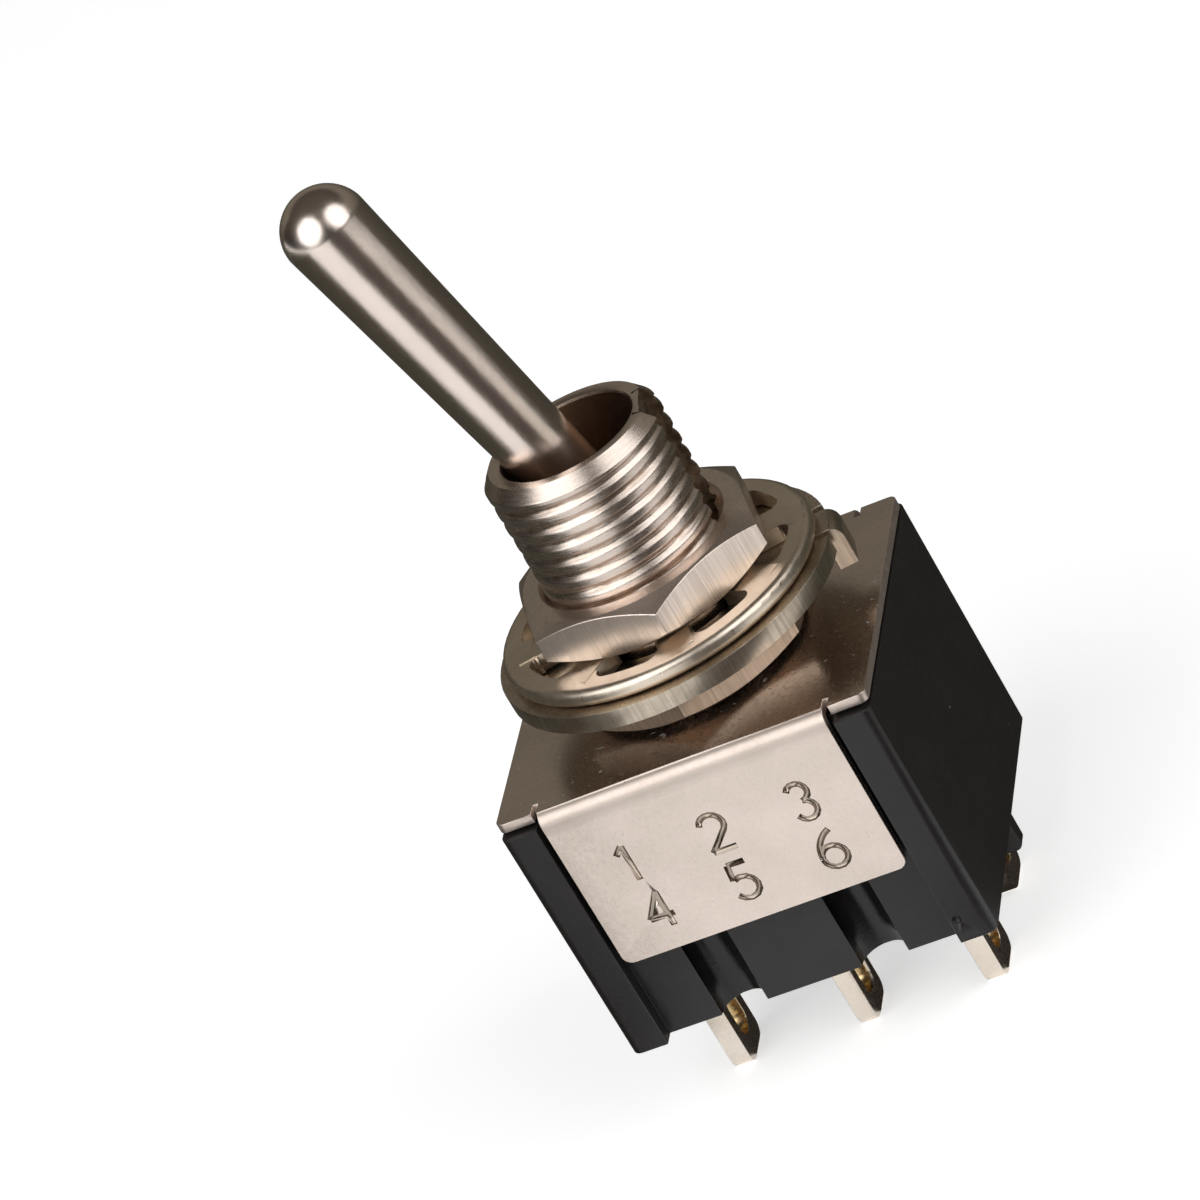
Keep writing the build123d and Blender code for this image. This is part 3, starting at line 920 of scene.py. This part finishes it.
def make_case():
    """Moulding with glossy grooves in its long sides and a gate dimple on the front right post."""
    low, high = node_box("case")
    middle = (high.x - dimple_inset, low.y - dimple_lift, plate_high.z - dimple_drop)
    dimple = ball(middle, dimple_radius)
    piece = worked_copy("moulded_case", "case", finishes["case"], case_edge, dimple)
    panel_y = high.y - panel_recess

    def in_groove(middle, normal):
        past, skin, upright = 0.02, 0.03, 0.5
        return (abs(normal.z) < upright and panel_y - groove_depth - past < abs(middle.y) < panel_y - skin
                and abs(abs(middle.x) - groove_offset) < groove_width / 2 + past)

    tint(piece, finishes["groove"], in_groove)


def make_washers():
    """The washer with a tab at its rim and the washer with teeth inside."""
    worked_copy("keyed_washer", "locating_washer", finishes["rim"], keyed_washer_edge)
    worked_copy("toothed_washer", "lock_washer", finishes["washer"], toothed_washer_edge, segments=1)


def make_lug(node):
    """Solder lug with bare brass inside its eye."""
    low, high = node_box(node)
    middle_y = (low.y + high.y) / 2
    piece = worked_copy("lug_" + node.replace("_terminal", ""), node, finishes["lug"], lug_edge)

    def in_eye(middle, normal):
        edge_on = 0.6
        return (abs(normal.x) < edge_on and abs(middle.y - middle_y) < eye_half_width
                and abs(middle.z - eye_height) < eye_half_height)

    tint(piece, finishes["brass"], in_eye)


# ---------------------------------------------------------------- CAD nodes

# The first start that fits a node's name gives its finish
node_finishes = (
    ("case", "case"), ("frame_plate", "sheet"), ("locating", "washer"), ("lock", "washer"),
    ("actuator", "bar"), ("terminal_seal", "resin"), ("plunger_spring", "spring"),
    ("plunger", "brass"), ("contact_rocker", "strip"), ("common", "lug"), ("throw", "lug"),
    ("fixed", "silver"), ("bushing", "turned"), ("toggle", "lever"), ("lower", "nut"),
    ("upper", "nut"))


def dress(node):
    """Gives a CAD node its finish and joins its doubled points."""
    finish = next(finish for start, finish in node_finishes if node.startswith(start))
    material, slot = finishes[finish]
    piece = frame["nodes"][node]
    piece.data.materials.clear()
    piece.data.materials.append(material)
    weld = piece.modifiers.new("weld", "WELD")
    weld.merge_threshold = weld_distance * MM


make_lever()
make_bushing()
for node, (degrees, finish) in nuts.items():
    make_nut(node, degrees, finish)
for pole in ("front", "rear"):
    make_spring(pole)
for node in frame["nodes"]:
    dress(node)
make_plate()
make_case()
make_washers()
for node in frame["nodes"]:
    if node.startswith(("common", "throw")):
        make_lug(node)


# ---------------------------------------------------------------- studio

object_middle = (cad_box[0] + cad_box[1]) / 2 / MM
lamp_distance = 600.0
paper_radius = 800.0
roof_radius = 900.0
card_steps = 48
card_lift = 0.1
under_lift = 0.05


def heading(azimuth, elevation):
    """Unit vector towards an azimuth and elevation in degrees. Azimuth 0 is -Y and 90 is +X."""
    a, e = math.radians(azimuth), math.radians(elevation)
    return Vector((math.sin(a) * math.cos(e), -math.cos(a) * math.cos(e), math.sin(e)))


def stage_mesh(name, points, faces, material):
    """A piece of the studio, points in millimetres."""
    mesh = bpy.data.meshes.new(name)
    mesh.from_pydata([Vector(p) * MM for p in points], [], faces)
    mesh.materials.append(material)
    piece = linked(name, mesh)
    return piece


def background_share(tree):
    """1 for rays that show the background: camera, glossy and transmission rays."""
    path = tree.nodes.new("ShaderNodeLightPath")
    share = path.outputs["Is Camera Ray"]
    for ray in ("Is Glossy Ray", "Is Transmission Ray"):
        share = join(tree, "MAXIMUM", share, path.outputs[ray])
    return share


def make_floor():
    """White paper that glows a little for the rays that show it, so lit paper is white."""
    material, tree, shader = nodes_of("paper")
    shader.inputs["Base Color"].default_value = (0.82, 0.82, 0.82, 1)
    shader.inputs["Roughness"].default_value = 0.9
    shader.inputs["Specular IOR Level"].default_value = 0.1
    path = tree.nodes.new("ShaderNodeLightPath")
    glow = remap(tree, path.outputs["Is Camera Ray"], 0.0, 1.0, 0.42, 0.58)
    shader.inputs["Emission Color"].default_value = (1, 1, 1, 1)
    tree.links.new(product(tree, background_share(tree), glow), shader.inputs["Emission Strength"])
    rim = around(paper_radius, 0, 64)
    stage_mesh("paper_floor", rim, [tuple(range(len(rim)))], material)


def make_world():
    """White surround for the rays that show it, soft grey light for the rest."""
    world = bpy.data.worlds.new("surround")
    bpy.context.scene.world = world
    world.use_nodes = True
    tree = world.node_tree
    background = tree.nodes["Background"]
    background.inputs["Color"].default_value = (1, 1, 1, 1)
    strength = remap(tree, background_share(tree), 0.0, 1.0, 0.15, 1.0)
    tree.links.new(strength, background.inputs["Strength"])


def soft_box(name, azimuth, elevation, size, radiance):
    """Oval lamp that faces the object, with a size in degrees of its view and a plain brightness."""
    width, height = [2 * lamp_distance * math.tan(math.radians(angle / 2)) for angle in size]
    light = bpy.data.lights.new(name, "AREA")
    light.shape = "ELLIPSE"
    light.size = width * MM
    light.size_y = height * MM
    light.energy = radiance * math.pi * light.size * light.size_y * math.pi / 4
    lamp = linked(name, light)
    target = Vector((0, 0, object_middle.z))
    lamp.location = (target + heading(azimuth, elevation) * lamp_distance) * MM
    lamp.rotation_euler = (-heading(azimuth, elevation)).to_track_quat("-Z", "Y").to_euler()


def card_material(name, colour, high_colour=None, low_z=0, high_z=1):
    """Glow of one colour, or one that shades to another between two heights."""
    material, tree, shader = nodes_of(name)
    share = remap(tree, height_of(tree, coordinates(tree)), low_z, high_z)
    tree.links.new(blend(tree, share, colour, high_colour or colour), shader.inputs["Emission Color"])
    shader.inputs["Base Color"].default_value = (0, 0, 0, 1)
    shader.inputs["Specular IOR Level"].default_value = 0.0
    shader.inputs["Emission Strength"].default_value = 1.0
    return material


def reflected_only(piece):
    """Hides a card from all but glossy rays."""
    piece.visible_camera = False
    piece.visible_diffuse = False
    piece.visible_shadow = False
    piece.visible_transmission = False


def card(name, rows, azimuths, material):
    """Curved studio card that only reflections see. Rows are (radius, height) in millimetres."""
    points, faces = [], []
    for i in range(card_steps + 1):
        azimuth = azimuths[0] + (azimuths[1] - azimuths[0]) * i / card_steps
        for radius, height in rows:
            side = heading(azimuth, 0) * radius
            points.append((side.x, side.y, height))
    for i in range(card_steps):
        for j in range(len(rows) - 1):
            corner = i * len(rows) + j
            faces.append((corner, corner + len(rows), corner + len(rows) + 1, corner + 1))
    reflected_only(stage_mesh(name, points, faces, material))


def flag(name, azimuths, near, far, height, material):
    """Card that lies from a near to a far radius and stands up there, or only lies if it has no height."""
    rows = [(near, card_lift), (far, card_lift)]
    if height:
        rows.append((far, height))
    card(name, rows, azimuths, material)


def make_cards():
    """Dark and pale cards round the switch, under it and over it."""
    moss, olive = (0.055, 0.052, 0.041), (0.19, 0.17, 0.14)
    brown, umber = (0.066, 0.055, 0.048), (0.085, 0.072, 0.060)
    black, stone = (0.022, 0.019, 0.016), (0.60, 0.56, 0.50)
    side = card_material("side_card", moss)
    flag("rear_flag", (104, 250), 9, 70, 75, card_material("rear_card", moss, olive, 22, 52))
    flag("right_flag", (90, 104), 9, 90, 20, side)
    flag("left_flag", (250, 317), 9, 90, 20, side)
    flag("corner_flag", (317, 328), 14, 48, None, side)
    flag("camera_flag", (12, 57), 12, 70, 40, card_material("camera_card", brown))
    flag("far_flag", (57, 90), 60, 260, None, card_material("far_card", stone))
    # Black card under the switch that only reflections see: painted shadow of the floor beneath it
    corners = [(-9, -2.8, under_lift), (9, -2.8, under_lift), (9, 9, under_lift), (-9, 9, under_lift)]
    reflected_only(stage_mesh("under_flag", corners, [(0, 1, 2, 3)], card_material("under_card", black)))
    roof = [(roof_radius * math.cos(math.radians(e)), roof_radius * math.sin(math.radians(e)))
            for e in range(0, 91, 6)]
    card("roof_tent", roof, (-180, 180), card_material("roof_card", black, umber, 100, 800))


def make_camera():
    """Long lens at the viewing angle, rolled as the switch stands tilted in its picture."""
    camera = bpy.data.cameras.new("camera")
    camera.sensor_width = 36.0
    camera.lens = 166.9
    camera.clip_start = 0.01
    camera.clip_end = 10.0
    viewer = linked("camera", camera)
    azimuth, elevation, roll, distance = 22.88, 25.44, 31.02, 178.96
    aim = Vector((-1.73, -0.41, object_middle.z))
    back = heading(azimuth, elevation)
    viewer.location = (aim + back * distance) * MM
    turn = (-back).to_track_quat("-Z", "Y").to_matrix() @ Matrix.Rotation(math.radians(-roll), 3, "Z")
    viewer.rotation_euler = turn.to_euler()
    bpy.context.scene.camera = viewer


make_floor()
make_world()
soft_box("left_soft_box", -26, 35, (60, 62), 1.9)
soft_box("right_soft_box", 72, 35, (56, 56), 1.6)
make_cards()
make_camera()

bpy.context.scene.view_settings.view_transform = "Standard"
